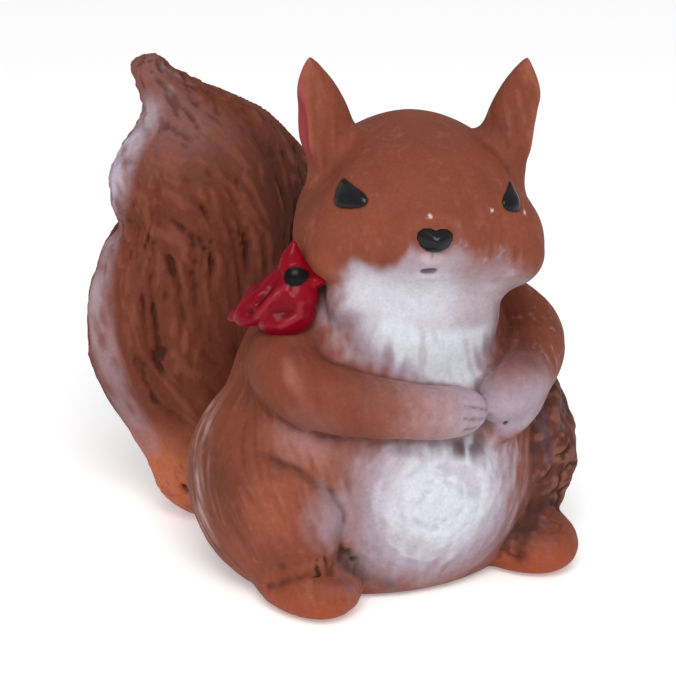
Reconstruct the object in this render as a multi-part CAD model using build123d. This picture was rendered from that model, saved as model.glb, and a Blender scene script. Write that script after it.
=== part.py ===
"""A seated squirrel ornament with a small bird on its shoulder, cast in resin as pieces that are pinned and glued.

Millimetres, +Z up. The squirrel faces -Y and its own left is +X. The origin is on the plane it rests on, on the
axis of the torso. Each row of a profile is one section of a form, in shares of the sizes named above it.
"""

from build123d import *
from math import cos, radians, sin
import os

# Glue joints: wire pins for the small pieces and thick dowels for the head and the tail
PIN_RADIUS = 1.0
DOWEL_RADIUS = 2.5
PIN_CLEARANCE = 0.1
PIN_END_CLEARANCE = 0.4
PIN_FLOOR = 2.0

# Underside: a plug on a ledge closes the hollow, and a felt pad under it stands a little proud
PAD_THICKNESS = 2.0
PAD_PROUD = 0.5
PAD_CLEARANCE = 0.3
PLUG_THICKNESS = 5.0
PLUG_CLEARANCE = 0.2
PLUG_LEDGE = 3.0
BASE_RIM = 5.0

# Torso: a hollow pear, lofted through level ovals from the base to the top of the neck
TORSO_HEIGHT = 64.0
BELLY_HALF_WIDTH = 31.0
BELLY_FRONT = 30.0
BELLY_BACK = 27.0
TORSO_WALL = 6.0
HOLLOW_SHARES = (0.31, 0.52, 0.70)
TORSO_PROFILE = (
    # height, half width, front, back
    (0.00, 0.87, 0.77, 0.88),
    (0.12, 0.97, 0.93, 0.97),
    (0.31, 1.00, 1.00, 1.00),
    (0.52, 0.97, 0.92, 0.95),
    (0.70, 0.85, 0.76, 0.78),
    (0.86, 0.66, 0.64, 0.58),
    (1.00, 0.48, 0.52, 0.44),
)

# Head: a wide egg lofted from the back of the skull to the muzzle, with full cheeks and narrow temples
HEAD_LENGTH = 44.0
CHEEK_HALF_WIDTH = 23.5
CROWN_HEIGHT = 17.2
JAW_DEPTH = 15.0
TEMPLE_FULLNESS = 0.47
SKULL_MIDDLE_SHARE = 0.43
HEAD_SIDE = 4.9
HEAD_FORWARD = 5.5
HEAD_RISE = 8.2
HEAD_TURN = -24.5
HEAD_TILT = 3.5
NECK_DOWEL_GRIP = 10.0
HEAD_PROFILE = (
    # place along the length, lift, half width, up, down
    (0.00, 0.05, 0.26, 0.25, 0.33),
    (0.06, 0.02, 0.56, 0.55, 0.66),
    (0.22, -0.12, 0.86, 0.90, 0.90),
    (0.43, -0.32, 0.97, 1.12, 0.90),
    (0.59, -0.44, 1.00, 1.20, 0.76),
    (0.73, -0.44, 0.92, 1.12, 0.66),
    (0.84, -0.34, 0.72, 0.88, 0.60),
    (0.93, -0.18, 0.47, 0.52, 0.56),
    (1.00, -0.06, 0.20, 0.22, 0.28),
)

# Ears: pointed leaves, scooped out on the outer side and turned a little forward
EAR_LENGTH = 25.6
EAR_HALF_WIDTH = 6.6
EAR_HALF_DEPTH = 4.6
EAR_SCOOP_DEPTH = 4.0
EAR_SCOOP_HALF_WIDTH = 3.2
EAR_SCOOP_HALF_LENGTH = 7.5
EAR_ALONG_SHARE = 0.36
EAR_ANGLE = 36.0
EAR_SINK = 6.0
EAR_SPLAY = 10.0
EAR_TWIST = 15.0
EAR_PIN_GRIP = 4.5
EAR_PROFILE = (
    # height, half width, half depth
    (0.00, 0.80, 0.90),
    (0.40, 1.00, 1.00),
    (0.68, 0.76, 0.72),
    (0.88, 0.36, 0.36),
    (1.00, 0.07, 0.10),
)

# Eyes and nose: beads let into the head
EYE_RADIUS = 3.1
EYE_HALF_DEPTH = 2.2
EYE_PROUD = 0.8
EYE_ALONG_SHARE = 0.76
EYE_ANGLE = 36.0
NOSE_HALF_WIDTH = 3.0
NOSE_HALF_HEIGHT = 2.1
NOSE_HALF_DEPTH = 2.2
NOSE_PROUD = 1.5

# Hind legs: a haunch under the elbow and a foot in one casting, the left foot set further forward and the left
# haunch modelled in rough lumps
HAUNCH_HALF_THICKNESS = 16.3
HAUNCH_HALF_LENGTH = 22.0
HAUNCH_UNDER_ELBOW = 4.0
HAUNCH_BELOW_BASE = 2.2
HAUNCH_SINK = 8.3
HAUNCH_FORWARD = 2.0
LUMP_COUNT = 9
LUMP_RELIEF = 0.6
FOOT_HALF_WIDTH = 9.8
FOOT_HALF_HEIGHT = 7.0
FOOT_HALF_LENGTH = 15.5
FOOT_RISE = 4.5
FOOT_TOE_ANGLE = 8.0
LEFT_FOOT_OUT = -3.0
LEFT_FOOT_FORWARD = 15.5
RIGHT_FOOT_OUT = 1.6
RIGHT_FOOT_FORWARD = 11.0
LEG_PIN_ANGLE = 65.0
LEG_PIN_GRIP = 5.0

# Arms: each follows the torso's skin from the shoulder down and round to the front, where the paws meet
ARM_RADIUS = 7.0
SHOULDER_ANGLE = 78.0
PAWS_ANGLE = 9.0
PAWS_DROP = 26.9
ARM_PIN_GRIP = 5.0
ARM_PROFILE = (
    # drop from the neck, share of the angle, distance out and radius
    (0.55, 1.00, -0.45, 0.80),
    (0.75, 0.90, 0.15, 1.00),
    (0.86, 0.66, 0.40, 0.90),
    (0.92, 0.41, 0.45, 0.78),
    (0.98, 0.17, 0.45, 0.70),
    (1.00, 0.05, 0.45, 0.50),
    (1.00, 0.01, 0.45, 0.20),
)

# Tail: broad and upright behind the back, swaying to the right, with a tip that leans back, in uneven tufts of fur
# that run up it
TAIL_HEIGHT = 87.0
TAIL_HALF_WIDTH = 28.0
TAIL_HALF_DEPTH = 13.0
TAIL_GAP = 4.0
TAIL_REACH = 30.5
TAIL_SWAY = 17.5
TAIL_LEAN_ANGLE = 38.0
TUFT_COUNT = 11
TUFT_RELIEF = 0.6
TUFT_UNEVEN_ANGLE = 6.0
TUFT_TURN_ANGLE = 140.0
TAIL_DOWEL_HEIGHT = 13.0
TAIL_DOWEL_ANGLE = 197.0
TAIL_DOWEL_SPREAD_ANGLE = 14.0
TAIL_DOWEL_GRIP = 8.0
TAIL_PROFILE = (
    # height, reach, sway, lean, half width, half depth
    (0.000, 0.00, 0.34, 0.92, 0.54, 0.75),
    (0.140, 0.26, 0.48, 0.66, 0.79, 0.90),
    (0.320, 0.43, 0.57, 0.21, 0.99, 1.00),
    (0.500, 0.49, 0.57, 0.11, 1.00, 1.00),
    (0.660, 0.52, 0.54, 0.21, 0.87, 0.95),
    (0.790, 0.59, 0.63, 0.47, 0.69, 0.80),
    (0.885, 0.72, 0.81, 0.84, 0.43, 0.55),
    (0.955, 0.88, 0.98, 1.00, 0.20, 0.30),
    (1.000, 1.00, 1.04, 1.00, 0.09, 0.12),
)

# Bird: body and tail along its heading, with an upright crested head and a short beak, beside the cheek
BIRD_LENGTH = 16.0
BIRD_HALF_WIDTH = 6.2
BIRD_HALF_HEIGHT = 6.6
BIRD_MIDDLE_SHARE = 0.52
BIRD_HEAD_HEIGHT = 11.5
BIRD_HEAD_RADIUS = 4.9
BIRD_BEAK_LENGTH = 6.0
BIRD_BEAK_RADIUS = 2.2
BIRD_BEAK_TIP_RADIUS = 0.3
BIRD_BEAK_SHARE = 0.42
BIRD_HEADING_ANGLE = -40.0
BIRD_PERCH_DROP = 15.4
BIRD_PERCH_ANGLE = -80.0
BIRD_PERCH_OUT = 3.4
BIRD_PERCH_RISE = 6.5
BIRD_BODY_PROFILE = (
    # place along the length, lift, half width, half height
    (0.00, -0.55, 0.26, 0.10),
    (0.20, -0.38, 0.55, 0.45),
    (0.45, -0.20, 0.93, 0.88),
    (0.68, -0.22, 1.00, 1.00),
    (0.88, -0.12, 0.74, 0.76),
    (1.00, -0.05, 0.26, 0.28),
)
BIRD_HEAD_PROFILE = (
    # height, forward and radius
    (0.00, 0.55, 1.00),
    (0.34, 0.66, 0.90),
    (0.55, 0.80, 0.76),
    (0.78, 0.76, 0.42),
    (1.00, 0.66, 0.08),
)

ROUND_SHARE = 0.5523  # handle length that makes a quarter curve round
ROOM = 4 * TORSO_HEIGHT  # a block larger than the whole ornament


def oval(half_width, up, down, fullness=ROUND_SHARE):
    """A closed outline of four quarter curves, with its own height on each side of the widest line."""

    def quarter(width, height, full):
        return Bezier((width, 0), (width, full * height), (full * width, height), (0, height))

    return make_face(
        [
            quarter(half_width, up, fullness),
            quarter(-half_width, up, fullness),
            quarter(-half_width, -down, ROUND_SHARE),
            quarter(half_width, -down, ROUND_SHARE),
        ]
    )


def tufted(half_width, half_height, count, relief, uneven=0.0):
    """A closed oval of round tufts with grooves between them, from even tufts to uneven ones."""

    def at(place, rise):
        angle = radians(360 * place / count + uneven * sin(radians(TUFT_TURN_ANGLE * place)))
        return ((half_width + rise) * cos(angle), (half_height + rise) * sin(angle))

    grooves = [at(place, -relief) for place in range(count)]
    ridges = [at(place + 0.5, relief) for place in range(count)]
    return make_face([ThreePointArc(*arc) for arc in zip(grooves, ridges, grooves[1:] + grooves[:1])])


def egg(half_width, half_height, half_length, lumps=0, relief=0.0):
    """A closed egg along its own Y axis, with a small flat at each end, smooth or with rows of lumps round it."""
    ovals = []
    for row, latitude in enumerate((-78, -55, -28, 0, 28, 55, 78)):
        share = cos(radians(latitude))
        width, height = half_width * share, half_height * share
        level = Plane((0, half_length * sin(radians(latitude)), 0), x_dir=(1, 0, 0), z_dir=(0, 1, 0))
        if lumps:
            swell = relief * share if row % 2 else -relief * share
            ovals.append(level * tufted(width + swell, height + swell, lumps, relief * share))
        else:
            ovals.append(level * oval(width, height, height))
    return loft(ovals)


def between(profile, share):
    """The section of a profile at a share of its first column, on straight lines between its rows."""
    for low, high in zip(profile, profile[1:]):
        if share <= high[0]:
            part = (share - low[0]) / (high[0] - low[0])
            return [a + (b - a) * part for a, b in zip(low, high)]
    return profile[-1]


def pin(joint, radius, inner, outer):
    """A pin through a joint and the hole for it, along the joint's Z, with its length on each side."""
    peg = extrude(Pos(0, 0, -inner) * Circle(radius), inner + outer)
    drill = Pos(0, 0, -inner - PIN_END_CLEARANCE) * Circle(radius + PIN_CLEARANCE)
    hole = extrude(drill, inner + outer + 2 * PIN_END_CLEARANCE)
    return joint * peg, joint * hole


above_base = Pos(0, 0, PAD_PROUD) * Box(ROOM, ROOM, ROOM, align=(Align.CENTER, Align.CENTER, Align.MIN))
shell_grip = TORSO_WALL - PIN_FLOOR - PIN_END_CLEARANCE


# Torso, with the hollow and the stepped recess under it for the plug and the pad
def torso_oval(share, inset=0.0):
    _, width, front, back = between(TORSO_PROFILE, share)
    outline = oval(
        width * BELLY_HALF_WIDTH - inset,
        back * BELLY_BACK - inset,
        front * BELLY_FRONT - inset,
    )
    return Pos(0, 0, PAD_PROUD + share * TORSO_HEIGHT) * outline


def on_torso(share, angle, out=0.0):
    """A point off the torso's skin and the way out, at an angle from the front towards the squirrel's left."""
    _, width, front, back = between(TORSO_PROFILE, share)
    turn = radians(angle)
    half = width * BELLY_HALF_WIDTH
    depth = front * BELLY_FRONT if cos(turn) > 0 else back * BELLY_BACK
    outward = Vector(sin(turn) / half, -cos(turn) / depth, 0).normalized()
    skin = Vector(half * sin(turn), -depth * cos(turn), PAD_PROUD + share * TORSO_HEIGHT)
    return skin + outward * out, outward


torso = loft([torso_oval(row[0]) for row in TORSO_PROFILE])
ledge_rise = PAD_THICKNESS + PLUG_THICKNESS - PAD_PROUD
recess = extrude(torso_oval(0, BASE_RIM), ledge_rise)
throat = Pos(0, 0, ledge_rise) * torso_oval(0, BASE_RIM + PLUG_LEDGE)
hollow = loft([throat] + [torso_oval(share, TORSO_WALL) for share in HOLLOW_SHARES], ruled=True)
torso_shell = torso - recess - hollow
felt_pad = extrude(Pos(0, 0, -PAD_PROUD) * torso_oval(0, BASE_RIM + PAD_CLEARANCE), PAD_THICKNESS)
plug_floor = Pos(0, 0, PAD_THICKNESS - PAD_PROUD) * torso_oval(0, BASE_RIM + PLUG_CLEARANCE)
base_plug = extrude(plug_floor, PLUG_THICKNESS)

# Head, hollowed underneath to sit over the neck on its dowel
neck_top = PAD_PROUD + TORSO_HEIGHT
head_place = Pos(HEAD_SIDE, -HEAD_FORWARD, neck_top + HEAD_RISE) * Rot(0, 0, HEAD_TURN) * Rot(0, HEAD_TILT, 0)


def head_y(along):
    return (SKULL_MIDDLE_SHARE - along) * HEAD_LENGTH


def on_head(side, along, angle):
    """A point on the upper half of the head's skin, in its own frame, at an angle up from its side."""
    _, lift, width, up, _ = between(HEAD_PROFILE, along)
    t = angle / 90
    rest = 1 - t
    handle = 3 * rest * t * TEMPLE_FULLNESS
    x = width * CHEEK_HALF_WIDTH * (rest**3 + 3 * rest**2 * t + handle * t)
    z = up * CROWN_HEIGHT * (t**3 + 3 * rest * t**2 + handle * rest)
    return Vector(side * x, head_y(along), lift * CROWN_HEIGHT + z)


head_ovals = []
for along, lift, width, up, down in HEAD_PROFILE:
    level = Plane((0, head_y(along), lift * CROWN_HEIGHT), x_dir=(1, 0, 0), z_dir=(0, -1, 0))
    outline = oval(width * CHEEK_HALF_WIDTH, up * CROWN_HEIGHT, down * JAW_DEPTH, TEMPLE_FULLNESS)
    head_ovals.append(level * outline)
skull = head_place * loft(head_ovals)
neck_dowel, neck_hole = pin(Pos(0, 0, neck_top), DOWEL_RADIUS, NECK_DOWEL_GRIP, NECK_DOWEL_GRIP)


# Eyes and nose, each bead facing straight out of the skull
def eye(side):
    seat = on_head(side, EYE_ALONG_SHARE, EYE_ANGLE)
    facing = (seat - Vector(0, 0, HEAD_PROFILE[3][1] * CROWN_HEIGHT)).normalized()
    middle = seat + facing * (EYE_PROUD - EYE_HALF_DEPTH)
    level = Plane(middle, x_dir=(0, 0, 1), z_dir=facing)
    return head_place * level.location * Rot(90, 0, 0) * egg(EYE_RADIUS, EYE_RADIUS, EYE_HALF_DEPTH)


left_eye = eye(1)
right_eye = eye(-1)
nose_middle = Pos(0, head_y(1) + NOSE_HALF_DEPTH - NOSE_PROUD, HEAD_PROFILE[-1][1] * CROWN_HEIGHT)
nose = head_place * nose_middle * egg(NOSE_HALF_WIDTH, NOSE_HALF_HEIGHT, NOSE_HALF_DEPTH)


# Ears, each a leaf along its own Z that stands on the skull over a pin
def ear(side):
    leaf_ovals = []
    for height, width, depth in EAR_PROFILE:
        half_depth = depth * EAR_HALF_DEPTH
        leaf_ovals.append(Pos(0, 0, height * EAR_LENGTH) * oval(width * EAR_HALF_WIDTH, half_depth, half_depth))
    scoop = egg(EAR_SCOOP_DEPTH, EAR_SCOOP_HALF_WIDTH, EAR_SCOOP_HALF_LENGTH)
    scoop_place = Pos(side * EAR_HALF_WIDTH, 0, EAR_SINK + EAR_SCOOP_HALF_LENGTH) * Rot(90, 0, 0)
    leaf = loft(leaf_ovals) - scoop_place * scoop
    stand = Rot(0, side * EAR_SPLAY, 0) * Rot(0, 0, -side * EAR_TWIST)
    joint = head_place * Pos(*on_head(side, EAR_ALONG_SHARE, EAR_ANGLE)) * stand
    peg, hole = pin(joint, PIN_RADIUS, EAR_PIN_GRIP, EAR_PIN_GRIP)
    return joint * Pos(0, 0, -EAR_SINK) * leaf - skull - hole, peg, hole


left_ear, left_ear_pin, left_ear_hole = ear(1)
right_ear, right_ear_pin, right_ear_hole = ear(-1)
head = skull - torso - left_eye - right_eye - nose - neck_hole - left_ear_hole - right_ear_hole


# Hind legs, each cut to the torso's side and flat underneath
elbow_drop, elbow_turn = ARM_PROFILE[1][:2]
haunch_top = TORSO_HEIGHT - elbow_drop * PAWS_DROP - HAUNCH_UNDER_ELBOW
haunch_half_height = (haunch_top + HAUNCH_BELOW_BASE) / 2
haunch_rise = haunch_top - haunch_half_height


def leg(side, foot_out, foot_forward, lumps, relief):
    haunch_out = BELLY_HALF_WIDTH - HAUNCH_SINK
    haunch_place = Pos(side * haunch_out, -HAUNCH_FORWARD, PAD_PROUD + haunch_rise)
    haunch = haunch_place * egg(HAUNCH_HALF_THICKNESS, haunch_half_height, HAUNCH_HALF_LENGTH, lumps, relief)
    foot_place = Pos(side * (haunch_out + foot_out), -HAUNCH_FORWARD - foot_forward, PAD_PROUD + FOOT_RISE)
    foot_egg = egg(FOOT_HALF_WIDTH, FOOT_HALF_HEIGHT, FOOT_HALF_LENGTH)
    foot = foot_place * Rot(0, 0, side * FOOT_TOE_ANGLE) * foot_egg
    point, outward = on_torso(haunch_rise / TORSO_HEIGHT, side * LEG_PIN_ANGLE)
    peg, hole = pin(Plane(point, z_dir=outward).location, PIN_RADIUS, shell_grip, LEG_PIN_GRIP)
    haunch = (haunch & above_base) - torso
    foot = (foot & above_base) - torso
    return haunch + foot - hole, peg, hole


left_leg, left_leg_pin, left_leg_hole = leg(1, LEFT_FOOT_OUT, LEFT_FOOT_FORWARD, LUMP_COUNT, LUMP_RELIEF)
right_leg, right_leg_pin, right_leg_hole = leg(-1, RIGHT_FOOT_OUT, RIGHT_FOOT_FORWARD, 0, 0)


# Arms, each a tapering limb that leans on the torso, pinned at the elbow
def below_neck(drop):
    return 1 - drop / TORSO_HEIGHT


def arm(side):
    stations = []
    for drop, turn, out, radius in ARM_PROFILE:
        angle = PAWS_ANGLE + (side * SHOULDER_ANGLE - PAWS_ANGLE) * turn
        centre, _ = on_torso(below_neck(drop * PAWS_DROP), angle, out * ARM_RADIUS)
        stations.append((centre, radius * ARM_RADIUS))
    rings = []
    for place, (centre, radius) in enumerate(stations):
        ahead = stations[min(place + 1, len(stations) - 1)][0]
        behind = stations[max(place - 1, 0)][0]
        rings.append(Plane(centre, x_dir=(0, 0, 1), z_dir=ahead - behind) * oval(radius, radius, radius))
    elbow_angle = PAWS_ANGLE + (side * SHOULDER_ANGLE - PAWS_ANGLE) * elbow_turn
    point, outward = on_torso(below_neck(elbow_drop * PAWS_DROP), elbow_angle)
    peg, hole = pin(Plane(point, z_dir=outward).location, PIN_RADIUS, shell_grip, ARM_PIN_GRIP)
    return loft(rings) - torso - hole, peg, hole


left_arm, left_arm_pin, left_arm_hole = arm(1)
right_arm, right_arm_pin, right_arm_hole = arm(-1)
left_arm = left_arm - left_leg - right_arm
right_arm = right_arm - right_leg

# Tail, cut to the back and the haunches, on two level dowels
tail_root = TORSO_PROFILE[0][3] * BELLY_BACK + TAIL_GAP
tail_ovals = []
for height, reach, sway, lean, width, depth in TAIL_PROFILE:
    tilt = radians(lean * TAIL_LEAN_ANGLE)
    middle = (-sway * TAIL_SWAY, tail_root + reach * TAIL_REACH, PAD_PROUD + height * TAIL_HEIGHT)
    level = Plane(middle, x_dir=(1, 0, 0), z_dir=(0, sin(tilt), cos(tilt)))
    half_width, half_depth = width * TAIL_HALF_WIDTH, depth * TAIL_HALF_DEPTH
    tail_ovals.append(level * tufted(half_width, half_depth, TUFT_COUNT, width * TUFT_RELIEF, TUFT_UNEVEN_ANGLE))
tail = (loft(tail_ovals) & above_base) - torso - left_leg - right_leg
tail_dowels = []
for angle in (TAIL_DOWEL_ANGLE - TAIL_DOWEL_SPREAD_ANGLE, TAIL_DOWEL_ANGLE + TAIL_DOWEL_SPREAD_ANGLE):
    point, _ = on_torso(TAIL_DOWEL_HEIGHT / TORSO_HEIGHT, angle)
    peg, hole = pin(Plane(point, z_dir=(0, 1, 0)).location, DOWEL_RADIUS, shell_grip, TAIL_DOWEL_GRIP)
    tail_dowels.append(peg)
    tail = tail - hole
    torso_shell = torso_shell - hole

# Bird, cut to what it perches on, with its pin from the shoulder to the middle of its body
perch, perch_outward = on_torso(below_neck(BIRD_PERCH_DROP), BIRD_PERCH_ANGLE)
bird_middle = perch + perch_outward * BIRD_PERCH_OUT + Vector(0, 0, BIRD_PERCH_RISE)
bird_ovals = []
for along, lift, width, height in BIRD_BODY_PROFILE:
    middle = ((along - BIRD_MIDDLE_SHARE) * BIRD_LENGTH, 0, lift * BIRD_HALF_HEIGHT)
    half_height = height * BIRD_HALF_HEIGHT
    level = Plane(middle, x_dir=(0, 1, 0), z_dir=(1, 0, 0))
    bird_ovals.append(level * oval(width * BIRD_HALF_WIDTH, half_height, half_height))
bird_rings = []
for height, forward, radius in BIRD_HEAD_PROFILE:
    centre = Pos(forward * BIRD_HEAD_RADIUS, 0, height * BIRD_HEAD_HEIGHT)
    bird_rings.append(centre * Circle(radius * BIRD_HEAD_RADIUS))
beak_forward = between(BIRD_HEAD_PROFILE, BIRD_BEAK_SHARE)[1] * BIRD_HEAD_RADIUS
beak_root = Pos(beak_forward, 0, BIRD_BEAK_SHARE * BIRD_HEAD_HEIGHT)
root_up = (Align.CENTER, Align.CENTER, Align.MIN)
beak = beak_root * Rot(0, 90, 0) * Cone(BIRD_BEAK_RADIUS, BIRD_BEAK_TIP_RADIUS, BIRD_BEAK_LENGTH, align=root_up)
bird = Pos(*bird_middle) * Rot(0, 0, BIRD_HEADING_ANGLE) * (loft(bird_ovals) + loft(bird_rings) + beak)
perch_way = bird_middle - perch
perch_joint = Plane(perch, z_dir=perch_way).location
bird_pin, bird_hole = pin(perch_joint, PIN_RADIUS, shell_grip, perch_way.length)
bird = bird - torso - right_arm - skull - tail - bird_hole
right_arm = right_arm - bird_hole

for hole in (neck_hole, left_leg_hole, right_leg_hole, left_arm_hole, right_arm_hole, bird_hole):
    torso_shell = torso_shell - hole

nodes = {
    "torso_shell": torso_shell,
    "base_plug": base_plug,
    "felt_pad": felt_pad,
    "head": head,
    "neck_dowel": neck_dowel,
    "left_eye": left_eye,
    "right_eye": right_eye,
    "nose": nose,
    "left_ear": left_ear,
    "right_ear": right_ear,
    "ear_pins": Compound([left_ear_pin, right_ear_pin]),
    "left_hind_leg": left_leg,
    "right_hind_leg": right_leg,
    "leg_pins": Compound([left_leg_pin, right_leg_pin]),
    "left_arm": left_arm,
    "right_arm": right_arm,
    "arm_pins": Compound([left_arm_pin, right_arm_pin]),
    "tail": tail,
    "tail_dowels": Compound(tail_dowels),
    "bird": bird,
    "bird_pin": bird_pin,
}
os.makedirs("parts", exist_ok=True)
for name, shape in nodes.items():
    export_step(shape, f"parts/{name}.step")
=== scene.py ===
import math

import bpy
import numpy as np
from mathutils import Matrix, Vector, kdtree
from mathutils.bvhtree import BVHTree


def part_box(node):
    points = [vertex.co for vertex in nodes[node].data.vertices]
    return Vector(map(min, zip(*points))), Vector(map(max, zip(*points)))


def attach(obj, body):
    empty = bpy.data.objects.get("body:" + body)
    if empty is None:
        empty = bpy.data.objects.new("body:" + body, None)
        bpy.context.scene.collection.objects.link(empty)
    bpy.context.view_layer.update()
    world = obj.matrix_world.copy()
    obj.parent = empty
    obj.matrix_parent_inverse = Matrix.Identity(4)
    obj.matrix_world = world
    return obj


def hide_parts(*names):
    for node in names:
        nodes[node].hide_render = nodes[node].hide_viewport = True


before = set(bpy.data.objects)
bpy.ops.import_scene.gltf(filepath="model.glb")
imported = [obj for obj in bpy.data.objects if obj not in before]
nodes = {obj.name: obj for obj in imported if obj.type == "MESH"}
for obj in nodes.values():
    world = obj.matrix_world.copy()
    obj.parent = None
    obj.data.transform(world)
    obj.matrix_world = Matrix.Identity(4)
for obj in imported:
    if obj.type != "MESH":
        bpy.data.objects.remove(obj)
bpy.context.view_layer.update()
MM = 0.001
bpy.ops.object.select_all(action="DESELECT")

# The camera stands in front of the ornament's right side and a little above it,
# with the long lens of a product picture.
CAMERA_AZIMUTH = math.radians(-32)
CAMERA_ELEVATION = math.radians(20)
CAMERA_DISTANCE = 0.6
CAMERA_TARGET = Vector((-5.9, 4.9, 42.7)) * MM
CAMERA_LENS = 167.75
CAMERA_SENSOR = 36
NEAREST_SEEN = 0.01
camera_back = Vector((
    math.sin(CAMERA_AZIMUTH) * math.cos(CAMERA_ELEVATION),
    -math.cos(CAMERA_AZIMUTH) * math.cos(CAMERA_ELEVATION),
    math.sin(CAMERA_ELEVATION),
))
bpy.ops.object.camera_add(location=CAMERA_TARGET + camera_back * CAMERA_DISTANCE)
camera = bpy.context.object
camera.rotation_euler = camera_back.to_track_quat("Z", "Y").to_euler()
camera.data.lens = CAMERA_LENS
camera.data.sensor_width = CAMERA_SENSOR
camera.data.clip_start = NEAREST_SEEN
bpy.context.scene.camera = camera
bpy.context.scene.view_settings.view_transform = "Standard"

# The castings: torso, head, ears, arms, hind legs and tail are cast in resin one by one, pinned and glued,
# and their seams are filled before painting. So the carving starts as one skin over all of them, built up
# with clay at the joints, and is shared out among the pieces again once it is painted.
CASTINGS = [
    "torso_shell", "head", "left_ear", "right_ear", "left_arm", "right_arm",
    "left_hind_leg", "right_hind_leg", "tail",
]
MERGED_WITHIN = 0.01
BLANK_VOXEL = 0.6
SKIN_VOXEL = 0.4
UNDERSIDE = 0.5


def only(*pieces):
    """Select just these objects, with the first one active."""
    bpy.ops.object.select_all(action="DESELECT")
    for piece in pieces:
        piece.select_set(True)
    bpy.context.view_layer.objects.active = pieces[0]


def edit_all(piece):
    """Open a piece for editing with all of it selected."""
    only(piece)
    bpy.ops.object.mode_set(mode="EDIT")
    bpy.ops.mesh.select_all(action="SELECT")


def apply(piece, kind, **settings):
    """Add one modifier to a piece and apply it."""
    only(piece)
    modifier = piece.modifiers.new(kind.lower(), kind)
    for name, value in settings.items():
        setattr(modifier, name, value)
    bpy.ops.object.modifier_apply(modifier=modifier.name)


def casting_copy(node):
    """A copy of a casting's mesh with its loose triangles merged."""
    piece = bpy.data.objects.new(node + "_blank", nodes[node].data.copy())
    bpy.context.collection.objects.link(piece)
    piece.data.materials.clear()
    edit_all(piece)
    bpy.ops.mesh.remove_doubles(threshold=MERGED_WITHIN * MM)
    bpy.ops.object.mode_set(mode="OBJECT")
    return piece


def lump(middle, radii, axes):
    """A lump of modelling clay: a ball squashed to its three radii along its axes, in millimetres."""
    scale = [radius * MM for radius in radii]
    bpy.ops.mesh.primitive_uv_sphere_add(segments=40, ring_count=20, radius=1, scale=scale)
    piece = bpy.context.object
    bpy.ops.object.transform_apply()
    piece.data.transform(Matrix.Translation(Vector(middle) * MM) @ axes.to_4x4())
    return piece


HEAD_MIDDLE = Vector((4.9, -5.5, 72.7))
HEAD_AXES = Matrix.Rotation(math.radians(-24.5), 3, "Z") @ Matrix.Rotation(math.radians(3.5), 3, "Y")


def on_head(x, y, z):
    """A point in the head's own axes, x to its left, y to its back and z up, as a place on the ornament."""
    return HEAD_MIDDLE + HEAD_AXES @ Vector((x, y, z))


# The torso is hollow, so its blank is the hull round it
blanks = [casting_copy(node) for node in CASTINGS]
edit_all(blanks[0])
bpy.ops.mesh.convex_hull()
bpy.ops.object.mode_set(mode="OBJECT")

# Clay, each lump by its middle and its radii, those on the head in the head's own axes. The seats of the
# eyes and the nose are filled too, with copies of their beads.
HEAD_CLAY = (
    ((-14.5, -10, -8), (8.5, 9, 7)),  # right cheek
    ((-16.5, 3.0, 7.5), (5.5, 5.0, 5.0)),  # root of the right ear
    ((14.5, -10, -8), (8.5, 9, 7)),  # left cheek
    ((16.5, 3.0, 7.5), (5.5, 5.0, 5.0)),  # root of the left ear
    ((0, -19.0, -6.0), (9.0, 6.0, 6.5)),  # muzzle
    ((1, -12.0, -16.0), (14, 10, 9)),  # under the chin
)
UPRIGHT = Matrix.Identity(3)
PAW_AXES = Vector((-11, -2.5, -6.5)).to_track_quat("X", "Z").to_matrix()
BODY_CLAY = (
    ((0.5, -14.5, 52), (16, 11, 13), UPRIGHT),  # chest and throat
    ((-11.5, -13, 57.5), (7.5, 6, 7), UPRIGHT),  # neck, beside the bird
    ((-21.0, -19.5, 11.5), (4.5, 4.0, 5.0), UPRIGHT),  # between the right haunch and its foot
    ((14.5, -25.5, 34.5), (8.5, 4.0, 4.2), PAW_AXES),  # left paw
    ((-8, 28, 11), (18, 8, 11), UPRIGHT),  # joint of the tail and the back
    ((-18.0, 54.5, 86.5), (3.2, 3.0, 2.6), UPRIGHT),  # tip of the tail
)
clay = [lump(on_head(*middle), radii, HEAD_AXES) for middle, radii in HEAD_CLAY]
clay += [lump(middle, radii, axes) for middle, radii, axes in BODY_CLAY]
clay += [casting_copy(node) for node in ("left_eye", "right_eye", "nose")]

only(*blanks, *clay)
bpy.ops.object.join()
skin = bpy.context.object
skin.name = "skin"
apply(skin, "REMESH", mode="VOXEL", voxel_size=BLANK_VOXEL * MM)
apply(skin, "SMOOTH", factor=0.5, iterations=14)
apply(skin, "REMESH", mode="VOXEL", voxel_size=SKIN_VOXEL * MM)
apply(skin, "SMOOTH", factor=0.5, iterations=4)

# The recess under the torso, a little wider than the plug and the pad that go into it
RECESS_GROWTH = (1.01, 1.01, 2.6)
RECESS_HEADROOM = 0.05
recess = casting_copy("base_plug")
edit_all(recess)
bpy.ops.transform.resize(value=RECESS_GROWTH)
bpy.ops.object.mode_set(mode="OBJECT")
recess_top = max(corner[2] for corner in recess.bound_box)
plug_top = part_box("base_plug")[1][2]
recess.data.transform(Matrix.Translation((0, 0, plug_top + RECESS_HEADROOM * MM - recess_top)))
apply(skin, "BOOLEAN", operation="DIFFERENCE", object=recess, solver="MANIFOLD")
bpy.data.objects.remove(recess)
skin.data.materials.clear()


def points_of(piece):
    """The points of a mesh in millimetres, one to a row."""
    flat = np.empty(3 * len(piece.data.vertices), dtype=np.float32)
    piece.data.vertices.foreach_get("co", flat)
    return flat.reshape(-1, 3).astype(float) / MM


def set_points(piece, points):
    piece.data.vertices.foreach_set("co", (points * MM).astype(np.float32).ravel())
    piece.data.update()


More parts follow.
